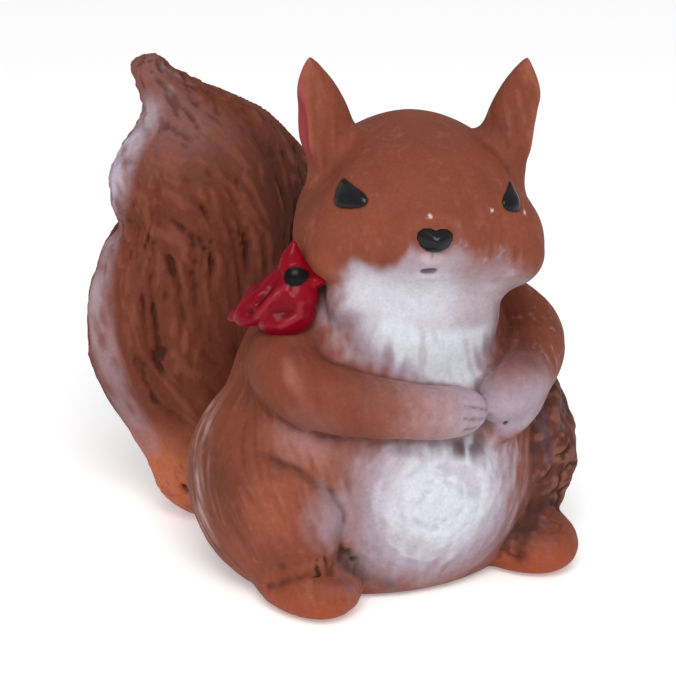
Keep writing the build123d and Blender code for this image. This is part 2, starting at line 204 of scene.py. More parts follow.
def normals_of(piece):
    flat = np.empty(3 * len(piece.data.vertices), dtype=np.float32)
    piece.data.vertex_normals.foreach_get("vector", flat)
    return flat.reshape(-1, 3).astype(float)


class Rubbing:
    """Rubs values or points smooth along the edges of one mesh."""

    def __init__(self, piece):
        flat = np.empty(2 * len(piece.data.edges), dtype=np.int32)
        piece.data.edges.foreach_get("vertices", flat)
        self.here, self.there = flat.reshape(-1, 2).T
        self.count = len(piece.data.vertices)
        self.degree = np.bincount(flat, minlength=self.count)

    def __call__(self, values, turns, share=1.0):
        """Each turn moves a value towards its neighbours' mean by a share, one for all or one each."""
        columns = values.reshape(self.count, -1).T
        for _ in range(turns):
            mean = np.array([
                np.bincount(self.here, column[self.there], self.count)
                + np.bincount(self.there, column[self.here], self.count)
                for column in columns
            ]) / self.degree
            columns = columns + (mean - columns) * share
        return columns.T.reshape(values.shape)


LATTICE_SIDE = 32
LATTICE_START = 100
LATTICE_SEED = 5
lattice = np.random.default_rng(LATTICE_SEED).uniform(-1, 1, LATTICE_SIDE ** 3)


def grain(points, size):
    """Smooth random values from -1 to 1 through space, in lumps of about this size."""
    place = np.ascontiguousarray(points.T) / size + LATTICE_START
    corner = np.floor(place).astype(np.int32)
    part = place - corner
    u, v, w = part * part * (3 - 2 * part)
    (i, j, k), (i2, j2, k2) = corner % LATTICE_SIDE, (corner + 1) % LATTICE_SIDE

    def line(a, b):
        row = (a * LATTICE_SIDE + b) * LATTICE_SIDE
        low = lattice.take(row + k)
        return low + (lattice.take(row + k2) - low) * w

    near = line(i, j)
    near += (line(i, j2) - near) * v
    far = line(i2, j)
    far += (line(i2, j2) - far) * v
    return near + (far - near) * u


def combed(points, way, size, length):
    """Grain drawn out along the way the hair lies, with a spread of 1."""
    steps = np.linspace(-length / 2, length / 2, 2 * math.ceil(length / size / 2) + 5)
    value = sum(grain(points + way * step, size) for step in steps)
    return value / value.std()


def unit(rows):
    return rows / np.maximum(np.linalg.norm(rows, axis=1, keepdims=True), 1e-9)


def ease(value, low, high):
    """From nought at low to one at high, softly at both ends."""
    t = np.clip((value - low) / (high - low), 0, 1)
    return t * t * (3 - 2 * t)


def bell(*offsets):
    """One where every offset is nought, falling softly to nought as they grow past one."""
    return np.exp(-sum(offset ** 2 for offset in offsets))


def patch(points, middle, radii, edge=0.6):
    """One inside a round patch and nought outside it, fading over a share of its radius."""
    away = np.linalg.norm((points - np.array(middle)) / np.array(radii), axis=1)
    return 1 - ease(away, 1 - edge, 1)


def nearest_on(points, path):
    """How far each point lies from a path, and the place on the path that it is nearest to."""
    away = np.full(len(points), np.inf)
    nearest = np.empty_like(points)
    for start, end in zip(path, path[1:]):
        start = np.array(start)
        run = np.array(end) - start
        place = start + np.outer(np.clip((points - start) @ run / (run @ run), 0, 1), run)
        distance = np.linalg.norm(points - place, axis=1)
        nearer = distance < away
        away[nearer] = distance[nearer]
        nearest[nearer] = place[nearer]
    return away, nearest


def stroke(points, path, radius, edge=0.7):
    """One along a brush stroke through some points and nought further off than its radius."""
    return 1 - ease(nearest_on(points, path)[0] / radius, 1 - edge, 1)


def along_skin(way, normals):
    """A way laid flat on the skin."""
    return unit(way - normals * np.einsum("ij,ij->i", way, normals)[:, None])


def in_head_axes(points):
    """Places on the ornament in the head's own axes."""
    return (points - np.array(HEAD_MIDDLE)) @ np.array(HEAD_AXES)


points = points_of(skin)
rub = Rubbing(skin)

# Which casting each point of the skin lies on
casting_points = [points_of(nodes[node]) for node in CASTINGS]
nearest_point = kdtree.KDTree(sum(len(rows) for rows in casting_points))
owner = np.concatenate([np.full(len(rows), i) for i, rows in enumerate(casting_points)])
for i, row in enumerate(np.concatenate(casting_points)):
    nearest_point.insert(row, i)
nearest_point.balance()
label = owner[[nearest_point.find(row)[1] for row in points]]
share = rub(np.eye(len(CASTINGS))[label], 12)
of = {node: share[:, i] for i, node in enumerate(CASTINGS)}
legs = of["left_hind_leg"] + of["right_hind_leg"]
ears = of["left_ear"] + of["right_ear"]
arms = of["left_arm"] + of["right_arm"]

# Filled joints: the haunches, shoulders and neck run into the body without a step
FILLED_JOINTS = (
    # how far it is filled, its middle, its radii
    (1.0, (-30, 12, 36), (16, 20, 12)),  # right haunch
    (1.0, (-29, -2, 44), (9, 16, 10)),  # right shoulder
    (1.0, (28, 12, 36), (14, 22, 12)),  # left haunch
    (1.0, (-1, -19, 56), (17, 9, 8)),  # neck
    (0.6, tuple(on_head(-15, 3, 11)), (6, 6, 5)),  # roots of the ears
    (0.6, tuple(on_head(15, 3, 11)), (6, 6, 5)),
    (1.0, tuple(on_head(-14.9, -15.2, 4.2)), (7, 7, 7)),  # seats of the eyes
    (1.0, tuple(on_head(14.9, -15.2, 4.2)), (7, 7, 7)),
    (1.0, (-22, -22, 11), (7, 6, 7)),  # right foot
    (0.4, (-7, 27, 16), (18, 8, 8)),  # tail
)
filled = sum(weight * patch(points, middle, radii) for weight, middle, radii in FILLED_JOINTS)
points = rub(points, turns=60, share=np.clip(filled + 0.4 * ears, 0, 1) * 0.9)
throat = patch(points, (-2, -21, 55), (22, 14, 15), 0.6) * (1 - ease(arms, 0.05, 0.5))
points = rub(points, turns=160, share=throat * 0.9)

# Ears: drawn out to their points again after the rubbing, and pressed in at the temples
hx, hy, hz = in_head_axes(points).T
for node, side, rise, press in (("left_ear", 1, 2.2, 2.0), ("right_ear", -1, 1.2, 2.4)):
    drawn = ease(of[node], 0.3, 0.9) * ease(hz, 12, 26)
    pinched = press * ease(side * hx, 11, 19) * bell((hz - 4.0) / 4.2) * ease(hy, -12, -4)
    moved = np.stack([-0.9 * drawn - side * pinched, 0 * drawn, rise * drawn], axis=1)
    points = points + moved @ np.array(HEAD_AXES).T
set_points(skin, points)

# Tail: tufts combed up and out from its middle, deep between the strands, with a ragged outer edge
TAIL_HEIGHTS = (0.5, 12.7, 28.3, 44.0, 57.9, 69.2, 77.5, 83.6, 87.5)
TAIL_MIDDLES = (-6.0, -8.4, -10.0, -10.0, -9.5, -11.0, -14.2, -17.2, -18.2)
TAIL_HALF_WIDTHS = (15.1, 22.1, 27.7, 28.0, 24.4, 19.3, 12.0, 5.6, 3.5)
TAIL_NOTCHES = (
    # how far it stands out, its height, its width
    (-2.2, 59, 2.6), (1.2, 68, 4.0), (-1.0, 77, 2.5), (0.9, 46, 6.0),
)


def tail_across(x, z):
    """How far a place lies across the tail, from -1 at its right edge to 1 at its left."""
    return (x - np.interp(z, TAIL_HEIGHTS, TAIL_MIDDLES)) / np.interp(z, TAIL_HEIGHTS, TAIL_HALF_WIDTHS)


def on_whole_skin(values):
    """Values of the tail's points, with nought on the rest of the skin."""
    whole = np.zeros(len(points))
    whole[on_tail] = values
    return whole


normals = normals_of(skin)
on_tail = of["tail"] > 0.005
here = points[on_tail]
height = here[:, 2]
across = tail_across(here[:, 0], height)
fan = np.interp(height, (0, 18, 29, 37, 48, 57, 70, 88), (1.2, 1.4, 1.0, 0.3, 0.25, 0.8, 1.0, 0.6))
sway = np.interp(height, (0, 22, 37, 48, 60, 70, 88), (-0.2, -0.4, 0.0, 0.0, -0.5, -0.6, -0.4))
wave = 0.35 * grain(here, 9.0)
hair = np.stack([fan * across + sway + wave, 0.25 * grain(here, 11.0), np.ones(len(here))], axis=1)
hair = along_skin(hair, normals[on_tail])
strands = combed(here, hair, 1.2, 22.0)
fine = combed(here, hair, 0.7, 8.0)
depth = ease(grain(here, 9.0), -0.4, 0.5)
furrow = ease(-strands, 0.8, 2.0)
depth *= 1 - 0.6 * ease(height, 60, 74)
relief = (0.18 + 0.5 * depth) * (0.3 * np.clip(strands, -1, 2) - furrow) + 0.05 * np.clip(fine, -2, 2)
notches = sum(rise * bell((height - middle) / width) for rise, middle, width in TAIL_NOTCHES)
relief += notches * ease(-across, 0.45, 1.0)
within = ease(of["tail"][on_tail], 0.2, 0.9)
lift = on_whole_skin(relief * within * ease(height, 0.5, 5.0))
# Masks for painted shade in the tail's furrows and a painted highlight on its strands
tail_furrow_shade = on_whole_skin(furrow * (0.35 + 0.65 * depth) * within)
tail_ridge_highlight = on_whole_skin(ease(strands, 0.4, 1.6) * within)

# Left haunch: left rough from the clay, in lumps and crevices
rough = ease(of["left_hind_leg"], 0.3, 0.9) * ease(points[:, 2], 1.0, 5.0)
rough *= 1 - 0.75 * patch(points, (25, -30, 4), (14, 14, 10))
crevice = bell((grain(points, 4.2) + 0.5 * grain(points + 17, 1.9)) / 0.13)
crevice *= ease(grain(points + 73, 5.0), 0.0, 0.6)
lift += rough * (0.6 * grain(points, 5.2) + 0.45 * grain(points + 31, 2.6) + 0.2 * grain(points + 57, 1.3))
lift -= 0.45 * rough * crevice

# Belly: brushed round its middle. Chest: brushed down from the chin. Flanks and limbs: nearly smooth
NAVEL = (-6, -29, 20.5)
CHIN = (-4, -16, 66)
from_navel = points - np.array(NAVEL)
round_navel = np.stack([-from_navel[:, 2], np.zeros(len(points)), from_navel[:, 0]], axis=1)
round_navel = along_skin(round_navel, normals)
from_chin = along_skin(points - np.array(CHIN), normals)
on_torso = of["torso_shell"]
belly = on_torso * patch(points, (-3, -27, 20), (26, 20, 21), 0.4)
chest = (on_torso + of["head"]) * patch(points, (0, -21, 52), (20, 16, 13), 0.5)
brushed_belly = combed(points, round_navel, 1.3, 7.0)
brushed_chest = combed(points, from_chin, 1.4, 8.0)
swerve = 0.4 * grain(points, 12)
forwards = -0.4 + 0.4 * grain(points + 50, 12)
downwards = along_skin(np.stack([swerve, forwards, -np.ones(len(points))], axis=1), normals)
brushed_side = combed(points, downwards, 1.5, 6.0)
sides = np.clip(1 - of["tail"] - of["head"] - ears - of["left_hind_leg"] - belly - chest, 0, 1)
lift += 0.12 * belly * brushed_belly + 0.05 * chest * brushed_chest + 0.05 * sides * brushed_side

# Right haunch: a crease where it stands out from the flank and the belly, ending in a pit over the foot
HAUNCH_CREASE = (
    (-36.0, -8.6, 29.8), (-33.2, -13.9, 30.4), (-29.9, -19.1, 28.8), (-28.1, -21.0, 27.3),
    (-24.5, -23.1, 24.3), (-22.2, -23.6, 19.6), (-23.0, -23.4, 15.1), (-22.2, -22.5, 11.5),
)
HAUNCH_MIDDLE = np.array((-31, -9, 17))
FOOT_LINE = ((-34.5, -15.5, 5.5), (-33.0, -18.6, 7.2), (-30.2, -21.5, 9.0), (-25, -23.1, 9.8))
FOOT_PITS = (((-21.6, -22.6, 11.5), 3.0), ((-20.4, -23.2, 9.4), 2.2), ((-26.6, -22.4, 10.7), 1.9))
away, nearest = nearest_on(points, HAUNCH_CREASE)
beyond = np.linalg.norm(points - HAUNCH_MIDDLE, axis=1) - np.linalg.norm(nearest - HAUNCH_MIDDLE, axis=1)
beyond -= 0.5
begun = ease(-points[:, 1], 9.0, 17.0) * (1 - ease(arms, 0.1, 0.5))
step = bell(beyond / np.where(beyond > 0, 4.5, 1.3)) * (1 - ease(away, 3.5, 8.0)) * begun
crease = bell(beyond / 0.8) * (1 - ease(away, 0.6, 2.0)) * begun
uneven = 2.0 * grain(points, 1.9)[:, None]
foot_pits = np.zeros(len(points))
for middle, radius in FOOT_PITS:
    foot_pits = np.maximum(foot_pits, patch(points + uneven, middle, (radius,) * 3, 0.9))
foot_line = stroke(points, FOOT_LINE, 2.0, 1.0)
lift -= 1.2 * step + 0.35 * crease + 0.8 * foot_pits + 0.7 * foot_line

# Right paw: the lines between its fingers
FINGERS = (
    ((-2.0, -33.2, 40.6), (2.0, -32.6, 39.0), (5.0, -31.0, 37.6)),
    ((-2.6, -33.5, 38.2), (1.6, -33.0, 37.0), (5.0, -31.0, 36.0)),
    ((-2.2, -33.0, 35.8), (1.6, -32.4, 35.0), (4.6, -30.8, 34.4)),
)
fingers = sum(stroke(points, path, 0.9, 1.0) for path in FINGERS) * of["right_arm"]
lift -= 0.35 * fingers
lift += 0.05 * grain(points, 3.0) * (1 - of["tail"])
lift *= ease(points[:, 2], UNDERSIDE, 1.5)
points = points + normals * lift[:, None]
set_points(skin, points)

# Face, in the head's own axes: sockets under the brows, the mouth, and the openings of the eyes
EYE_OUTLINE = (
    # towards the nose, up
    (-3.6, 3.2), (-2.8, 3.1), (-1.0, 2.1), (0.9, 1.1), (2.7, 0.1), (3.7, -0.9), (3.6, -1.9), (2.6, -2.5),
    (0.6, -2.8), (-1.4, -2.7), (-2.8, -2.2), (-3.5, -1.1), (-3.7, 0.8),
)
EYE_SEAT = Vector((14.9, -15.2, 4.2))
EYE_FACING = Vector((0.64, -0.65, 0.41)).normalized()
EYE_LENGTHWISE = Vector((-0.75, -0.62, 0.19))
LEFT_EYE_WIDTH = 0.72


def on_side(way, side):
    """A place or way on the left of the head, or its mirror image on the right."""
    return Vector((side * way.x, way.y, way.z))


def eye_axes(side):
    """The eye's seat on the head and its ways to the nose, up and outwards, in the head's own axes."""
    outward = on_side(EYE_FACING, side)
    nosewards = on_side(EYE_LENGTHWISE, side)
    nosewards = (nosewards - outward * nosewards.dot(outward)).normalized()
    upward = outward.cross(nosewards) * -side
    return on_side(EYE_SEAT, side), nosewards, upward, outward


def eye_outline(side):
    """The outline of one eye. The left eye is narrower than the right one."""
    width = LEFT_EYE_WIDTH if side == 1 else 1.0
    return tuple((width * u, v) for u, v in EYE_OUTLINE)


def outline_radius(outline, angle):
    """How far an outline lies from its middle in each direction."""
    corners = np.array(outline + outline[:1])
    rows = np.concatenate([
        start + (end - start) * np.linspace(0, 1, 24, endpoint=False)[:, None]
        for start, end in zip(corners, corners[1:])
    ])
    turn = np.arctan2(rows[:, 1], rows[:, 0])
    order = np.argsort(turn)
    return np.interp(angle, turn[order], np.hypot(rows[order, 0], rows[order, 1]), period=2 * math.pi)


head_points = in_head_axes(points)
hx, hy, hz = head_points.T
normals = normals_of(skin)
lift = np.zeros(len(points))
socket_shade = np.zeros(len(points))
for side in (-1, 1):
    seat, nosewards, upward, outward = (np.array(row) for row in eye_axes(side))
    u, v, out = ((head_points - seat) @ axis for axis in (nosewards, upward, outward))
    reach = np.hypot(u, v) / outline_radius(eye_outline(side), np.arctan2(v, u))
    near = (np.abs(out) < 7) * of["head"]
    lift -= 0.3 * near * (1 - ease(reach, 0.85, 1.15))
    lift += 0.3 * near * bell(u / 4.5, (v + 0.6 * u - 3.4) / 1.4)
    socket_shade = np.maximum(socket_shade, near * (1 - ease(reach, 1.0, 1.14)))
mouth_x = hx + 1.2
mouth_z = hz + 7.3 - 0.12 * mouth_x
mouth = of["head"] * bell((mouth_x / 1.5) ** 2, mouth_z / 0.55) * (hy < -18)
lip = of["head"] * bell(mouth_x / 2.4, (mouth_z + 1.3) / 0.8) * (hy < -18)
cleft = of["head"] * bell((hx + 0.8) / 0.35) * (hy < -20)
cleft *= ease(-hz, 2.5, 3.5) * (1 - ease(-hz, 6.0, 7.0))
lift += -0.8 * mouth + 0.25 * lip - 0.15 * cleft
points = points + normals * lift[:, None]

# Casting flaws: a pinhole on the paw and two at the tip of the tail
PINHOLES = (((9.2, -29.6, 33.7), 0.8), ((-15.5, 51.5, 87.0), 0.8), ((-16.6, 49.2, 83.6), 0.7))
flaws = np.zeros(len(points))
for middle, radius in PINHOLES:
    flaws = np.maximum(flaws, patch(points, middle, (radius,) * 3, 0.7))
points = points - normals * (0.6 * flaws)[:, None]
points[:, 2] = np.maximum(points[:, 2], UNDERSIDE)
set_points(skin, points)
normals = normals_of(skin)

# Paint, airbrushed and brushed in layers over a red-brown ground
def tone(red, green, blue):
    """A colour from a paint chart's screen values, as light."""
    chart = np.array((red, green, blue)) / 255
    return np.where(chart <= 0.04045, chart / 12.92, ((chart + 0.055) / 1.055) ** 2.4)


BROWN = tone(124, 64, 46)
RUSSET = tone(142, 74, 52)
UMBER = tone(70, 36, 27)
SOOT = tone(38, 25, 23)
ORANGE = tone(158, 79, 50)
WHITE = tone(201, 203, 212)
LAVENDER = tone(162, 147, 159)
ROSE = tone(143, 105, 103)
PINK = tone(150, 58, 60)
PLUM = tone(92, 80, 92)
SAND = tone(156, 100, 84)
FAWN = tone(160, 102, 84)
paint = np.tile(BROWN, (len(points), 1))


def lay(colour, mask, coat=paint):
    """Paint a colour over the coat that is there, as thickly as the mask says."""
    coat[:] = coat + (colour - coat) * np.clip(mask, 0, 1)[:, None]


ragged = 0.55 * combed(points, downwards, 1.2, 4.0) + 0.6 * grain(points, 2.6)
blotch = grain(points, 9.0)
hollow = np.einsum("ij,ij->i", rub(points, turns=5) - points, normals)
deep = np.einsum("ij,ij->i", rub(points, turns=50) - points, normals)


def ragged_patch(wander, middle, radii, edge):
    """A round patch of paint whose edge wanders with the brush."""
    return patch(points + wander * ragged[:, None], middle, radii, edge)


flecks = ease(grain(points, 0.9) + 0.6 * grain(points + 9, 2.1), 0.45, 0.95)
streaks = combed(points, downwards, 0.9, 7.0)
lay(RUSSET, 0.35 * ease(blotch, -0.2, 0.8) * (1 - of["tail"]))
lay(UMBER, 0.16 * ease(-blotch, 0.0, 0.8) * (1 - of["head"]))
lay(UMBER, 0.2 * ease(-brushed_side, 0.5, 2.0) * (1 - of["tail"]) * (1 - 0.6 * of["head"]))
lay(SAND, 0.2 * flecks * (1 - 0.6 * of["tail"]))
lay(FAWN, 0.2 * ease(streaks, 0.4, 2.0) * (1 - of["tail"]) * (1 - 0.75 * of["head"]))
lay(UMBER, 0.16 * ease(-streaks, 0.6, 2.0) * (1 - of["tail"]) * (1 - 0.75 * of["head"]))

# Tail
TAIL_BROWN = tone(98, 48, 34)
TAIL_ROOT = tone(188, 106, 74)
TAIL_FURROW_SHADE = tone(56, 27, 19)
TAIL_RIDGE_HIGHLIGHT = tone(130, 72, 55)
TAIL_DRY_BRUSH_HIGHLIGHT = tone(184, 172, 186)
x, y, z = points.T
across_tail = tail_across(x, z)
lay(TAIL_BROWN, 0.8 * of["tail"])
lay(ROSE, 0.4 * of["tail"] * ease(z + 2 * blotch, 66, 80) * (1 - ease(across_tail, -0.2, 0.8)))
# Painted shade down the tail's left half, next to the body, from its middle to below the tip
shaded_side = ease(across_tail + 0.15 * blotch, -0.25, 0.55)
lay(UMBER, 0.75 * of["tail"] * shaded_side * ease(z, 20, 40) * (1 - ease(z, 66, 80)))
lay(TAIL_ROOT, 0.85 * of["tail"] * (1 - ease(z + 3 * blotch, 8, 24)))
# Painted shade in the furrows between the strands, and a painted highlight on the strands' ridges
lay(TAIL_FURROW_SHADE, 0.9 * tail_furrow_shade)
lay(TAIL_RIDGE_HIGHLIGHT, 0.5 * tail_ridge_highlight)
TAIL_EDGE = (
    (-24, 48, 80), (-31, 46, 72), (-34, 44, 66), (-35, 44, 58), (-38, 42, 48), (-38, 40, 38), (-35, 38, 26),
    (-30, 36, 16),
)
# Dry brush and painted highlight along the tail's outer edge
tail_edge_highlight = of["tail"] * stroke(points, TAIL_EDGE, np.interp(z, (30, 60, 68), (4.6, 4.6, 6.0)), 0.9)
lay(ROSE, 0.45 * tail_edge_highlight)
edge_weight = np.interp(z, (10, 26, 40, 60, 66, 74, 82), (0.15, 0.3, 0.45, 0.5, 1.0, 1.0, 0.4))
lay(TAIL_DRY_BRUSH_HIGHLIGHT, tail_edge_highlight * edge_weight * ease(ragged, -1.8, 1.0))
tip_brush = stroke(points, ((-18, 50, 87), (-17, 49, 84), (-14, 47, 80), (-9, 46, 77)), 4.5, 0.9)
lay(LAVENDER, 0.6 * of["tail"] * tip_brush * ease(ragged, -0.6, 1.0))

# Left haunch
BARK = tone(80, 44, 36)
BARK_HIGHLIGHT = tone(150, 96, 82)
left_foot = patch(points, (25, -31, 3), (15, 14, 12), 0.5)
lay(BARK, 0.8 * ease(of["left_hind_leg"], 0.3, 0.8) * (1 - left_foot))
# Painted shade in the crevices and hollows of the left haunch
lay(SOOT, 0.7 * rough * ease(crevice, 0.2, 0.9))
lay(SOOT, 0.6 * rough * ease(deep, 0.1, 0.6))
lay(SOOT, 0.45 * rough * ease(grain(points + 43, 4.2) + 0.6 * grain(points + 77, 1.6), 0.0, 0.9))
front = ease(-y, 8, 22)
lay(PLUM, 0.45 * rough * front * ease(grain(points, 2.6) + 0.6 * grain(points + 21, 1.1), 0.1, 0.8))
# Painted highlight on its bumps
lay(BARK_HIGHLIGHT, 0.45 * rough * ease(-hollow, 0.02, 0.10))

# Feet and the right haunch
FOOT_ORANGE = tone(160, 74, 42)
HAUNCH_HIGHLIGHT = tone(160, 88, 66)
HAUNCH_PAINTED_SHEEN = tone(172, 114, 98)
lay(FOOT_ORANGE, 0.7 * legs * (1 - ease(z + 2.0 * blotch, 2.0, 10.0)) * ease(-y, 4, 22))
right_leg = of["right_hind_leg"]
# Painted shade over the back of the right haunch, and a painted highlight and painted sheen on its front,
# to round it
lay(UMBER, 0.4 * right_leg * ragged_patch(1.5, (-38, -6, 25), (9, 9, 9), 0.9))
lay(HAUNCH_HIGHLIGHT, 0.45 * right_leg * ragged_patch(1.5, (-34, -17, 20), (9, 9, 9), 0.9))
painted_sheen = patch(points, (-35, -15, 23), (6, 6, 6), 0.9)
lay(HAUNCH_PAINTED_SHEEN, 0.3 * right_leg * painted_sheen * ease(streaks, -0.2, 1.5))

# White of belly, chest and muzzle, with lavender and rose where it runs out
FLANK_ROSE = tone(160, 116, 112)
BELLY_GREY = tone(160, 150, 164)
COLLAR_WHITE = tone(186, 172, 178)
COLLAR_GREY = tone(176, 158, 164)
LIP_CREAM = tone(190, 176, 172)
belly_out = ragged_patch(2.2, (-5, -28, 19), (29, 22, 24), 0.45) * (on_torso + 0.6 * legs)
lay(ROSE, 0.75 * belly_out * (y < 0))
lay(FLANK_ROSE, 0.8 * ragged_patch(1.5, (-27, -19, 35), (12, 11, 9), 0.9))
belly_in = ragged_patch(2.0, (-5, -29, 19), (25, 19, 21), 0.55) * (on_torso + 0.25 * legs)
lay(LAVENDER, 0.9 * belly_in)
lay(WHITE, 0.95 * ragged_patch(1.3, (-4, -30, 21), (17, 16, 15.5), 0.6) * on_torso)
lay(BELLY_GREY, 0.45 * belly_in * ease(-brushed_belly, 0.4, 1.8))
lay(WHITE, 0.3 * belly_in * ease(brushed_belly, 0.6, 2.0))
under_chin = (on_torso + of["head"] * ease(-z, -66, -58)) * ease(-y, 6, 12) * ease(z, 38, 42)
bib_left = np.interp(z, (42, 44, 47.5, 50, 54.4, 63), (-5, -7, -11, -12.5, -14.5, -15))
bib_right = np.interp(z, (42, 50.5, 56.5, 62), (7.5, 9.5, 9, 8))
bib = np.minimum(x - bib_left, bib_right - x) + 0.8 * brushed_chest + 1.6 * grain(points, 3.4)
lay(ROSE, 0.8 * under_chin * ease(bib, -9, -3))
chest_mid = under_chin * ease(bib, -6, -1)
lay(LAVENDER, 0.85 * chest_mid)
chest_in = under_chin * ease(bib, -2, 3)
lay(WHITE, chest_in)
lay(LAVENDER, 0.45 * chest_in * ease(-brushed_chest, 0.2, 1.6))
brushed_white = ease(ragged + 0.8 * grain(points, 1.6), -1.0, 1.4) * (1 - arms)
collar = stroke(points, ((-19, -12, 57), (-20, -13, 53), (-21, -14, 51)), 3.0, 1.0)
lay(COLLAR_WHITE, 0.5 * collar * brushed_white)
lay(COLLAR_GREY, 0.5 * patch(points, (-16, -15, 50), (6, 7, 7), 0.9) * brushed_white)
head_points = in_head_axes(points)
hx, hy, hz = head_points.T
white_line = np.interp(
    hx,
    (-22, -17, -14, -9.6, -7, -5, -3, 0, 3, 4.5, 7, 13, 18, 23),
    (-15, -9, -6.4, -7.9, -6.4, -2.2, -2.6, -3.2, -2.4, -2.6, -4.8, -6.2, -10, -16),
)
muzzle = of["head"] * ease(white_line + 0.4 * ragged - hz, -1.4, 2.4) * ease(-hy, 3, 11)
muzzle *= ease(hx + 0.5 * ragged, -17.0, -11.5)
left_cheek = of["head"] * ease(white_line + 1.2 * ragged - hz, -4.0, 0.5)
left_cheek = left_cheek * ease(-hy, 6, 14) * ease(hx, -2, 6)
lay(ROSE, 0.6 * left_cheek)
lay(LAVENDER, 0.5 * left_cheek * flecks)
lay(LAVENDER, muzzle * (0.8 - 0.5 * ease(hx + 2 * blotch, 1, 9)))
lay(WHITE, 0.7 * muzzle * ease(-hz, 5, 11) * (1 - 0.95 * ease(hx, 0, 9)))
lay(LIP_CREAM, 0.5 * of["head"] * patch(head_points, (-0.8, -25, -4.6), (3.0, 4, 1.6)))
lay(ORANGE, 0.6 * of["head"] * patch(points, tuple(on_head(-18, -13, -10)), (6, 7, 6)))
lay(UMBER, 0.3 * of["head"] * patch(points, tuple(on_head(-20, -6, -2)), (9, 12, 9), 0.9))

# Forearms and paws, from brown at the elbow to lavender at the paws
SLEEVE_ROSE = tone(154, 116, 114)
SLEEVE_BROWN = tone(112, 56, 40)
SLEEVE_FLECK = tone(176, 160, 166)
SHOULDER_HIGHLIGHT = tone(166, 108, 92)
arm_fade = ease(x + 1.5 * ragged, -26, -4) * of["right_arm"]
lay(SLEEVE_ROSE, 0.9 * arm_fade)
lay(LAVENDER, 0.85 * of["right_arm"] * ease(x + 1.5 * ragged, -13, 3))
lay(SLEEVE_BROWN, 0.6 * of["right_arm"] * ease(-x, 10, 22))
# Painted highlight along the ridge of the right shoulder and elbow
shoulder_highlight = stroke(points, ((-29, -14, 51), (-29.5, -17, 46), (-27.5, -20, 42)), 2.2, 1.0)
lay(SHOULDER_HIGHLIGHT, 0.5 * shoulder_highlight * arms)
lay(SLEEVE_FLECK, 0.15 * flecks * arms * ease(x, -18, -8))
lay(PLUM, 0.15 * fingers)
# Painted shade in the crook of the left elbow
lay(SOOT, 0.45 * ragged_patch(1.2, (17, -24, 46), (8, 8, 7), 0.9) * ease(-hollow, -0.08, 0.02))
lay(LAVENDER, 0.9 * of["left_arm"] * ease(-(x + 1.2 * ragged), -25, -15) * ease(-z, -46, -38))

# Painted shade in the creases, the hollows, round the feet and under the arm, and dry brush with painted
# highlight on the edges
GREY_SHADE = tone(100, 84, 90)
ARM_SHADE = tone(76, 58, 60)
DRY_BRUSH_HIGHLIGHT_ROSE = tone(168, 132, 126)
DRY_BRUSH_HIGHLIGHT_WHITE = tone(190, 168, 166)
# Painted shade: darker in the deep creases, grey in those of the white belly and chest, and darker in small
# hollows
crease_shade = ease(deep, 0.25, 1.1)
lay(UMBER, 0.55 * crease_shade * (1 - of["tail"]) * (1 - 0.6 * (belly_in + chest_in)))
lay(GREY_SHADE, 0.45 * crease_shade * (belly_in + chest_in))
lay(UMBER, 0.45 * ease(hollow, 0.03, 0.12) * (1 - of["tail"]) * (1 - belly) * (1 - chest))
# Painted shade along the crease of the right haunch, in the pits and corner over its foot, beside that
# foot, and down the front of the left leg
lay(UMBER, 0.7 * crease * ease(ragged, -1.6, 0.4))
lay(SOOT, 0.8 * ease(foot_pits, 0.1, 0.7))
lay(SOOT, 0.55 * ragged_patch(1.2, (-21.5, -23, 10.5), (5.5, 5, 4), 0.9) * ease(ragged, -1.2, 0.8))
lay(UMBER, 0.55 * ease(foot_line, 0.3, 1.0) * ease(ragged, -1.8, 0.6))
lay(PLUM, 0.4 * ragged_patch(2.0, (-19, -24, 9), (7, 6, 5), 0.9) * ease(ragged, -0.5, 0.8))
shade_beside_foot = stroke(points, ((-21, -23, 10), (-17, -24, 6), (-12, -24, 3)), 3.0, 0.9)
lay(SOOT, 0.5 * shade_beside_foot * ease(ragged, -1.2, 0.6))
lay(SOOT, 0.6 * stroke(points, ((20, -26, 20), (19, -26, 12), (14, -28, 5)), 2.6, 0.9) * legs)
under_arm = stroke(points, ((-26, -20, 38), (-16, -27, 33.5), (-8, -29, 32), (4, -29, 30)), 3.6, 0.9)
lay(ARM_SHADE, 0.8 * under_arm * on_torso * ease(ragged, -1.8, 0.6))
# Dry brush and painted highlight along the outer edge of the right haunch
haunch_edge_highlight = stroke(points, ((-31, 12, 40), (-36, 6, 32), (-39, 2, 22), (-37.5, 1, 12)), 5.5, 0.9)
lay(DRY_BRUSH_HIGHLIGHT_ROSE, 0.6 * haunch_edge_highlight * (right_leg + on_torso) * ease(0.6 * streaks + ragged, -2.0, 1.4))
lay(DRY_BRUSH_HIGHLIGHT_WHITE, 0.4 * haunch_edge_highlight * right_leg * ease(0.5 * streaks + ragged, 0.0, 1.6))
lay(LAVENDER, 0.55 * ragged_patch(1.5, (-23.5, -24, 20), (9, 9, 10), 0.9) * legs)

# Ears
EAR_TURN = math.radians(15)
EAR_RIM_HIGHLIGHT = tone(164, 98, 76)
for node, side, scoop in (("left_ear", 1, 0.9), ("right_ear", -1, 0.74)):
    inward = np.array(HEAD_AXES @ Vector((side * math.cos(EAR_TURN), -math.sin(EAR_TURN), 0)))
    facing = normals @ inward
    lay(PINK, 0.9 * of[node] * ease(facing, scoop, scoop + 0.1) * ease(hz, 4, 8))
    # Painted highlight along the rims of the ears
    lay(EAR_RIM_HIGHLIGHT, 0.5 * of[node] * ease(-hollow, 0.03, 0.09) * ease(facing, -0.1, 0.3))

